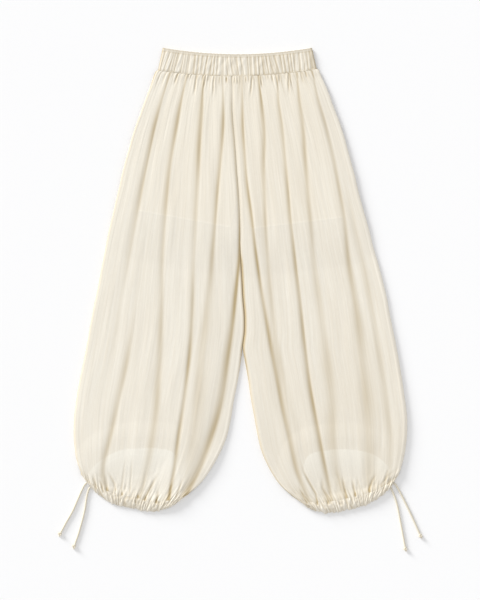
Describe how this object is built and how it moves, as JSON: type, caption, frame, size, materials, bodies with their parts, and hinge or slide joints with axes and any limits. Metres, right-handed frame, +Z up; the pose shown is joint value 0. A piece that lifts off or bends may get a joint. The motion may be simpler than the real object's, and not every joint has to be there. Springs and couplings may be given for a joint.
{
  "type": "harem pants",
  "caption": "Sheer harem pants laid flat, with a gathered elastic waistband, balloon legs over a short lining, and drawstring ankle casings with free cord ends.",
  "frame": {"origin": "centre of the footprint, on the surface that the pants lie on, with the cord ends left out", "axes": "+Y towards the waist, +X towards the viewer's right with the waist at the top, +Z up out of the front"},
  "size_m": [0.7662, 1.0568, 0.0121],
  "materials": {
    "chiffon": "sheer matte chiffon with a faint sheen",
    "lining": "plain matte lining cloth",
    "cord": "twisted cord of the same cloth"
  },
  "bodies": {
    "root": {"waistband": "chiffon", "front_left_leg": "chiffon", "back_left_leg": "chiffon", "lining_left_leg": "lining", "hem_casing_front_left": "chiffon", "hem_casing_back_left": "chiffon", "front_right_leg": "chiffon", "back_right_leg": "chiffon", "lining_right_leg": "lining", "hem_casing_front_right": "chiffon", "hem_casing_back_right": "chiffon", "cord_a": "cord", "cord_a_knot": "cord", "cord_b": "cord", "cord_b_knot": "cord", "cord_c": "cord", "cord_c_knot": "cord", "cord_d": "cord", "cord_d_knot": "cord"}
  },
  "joints": []
}
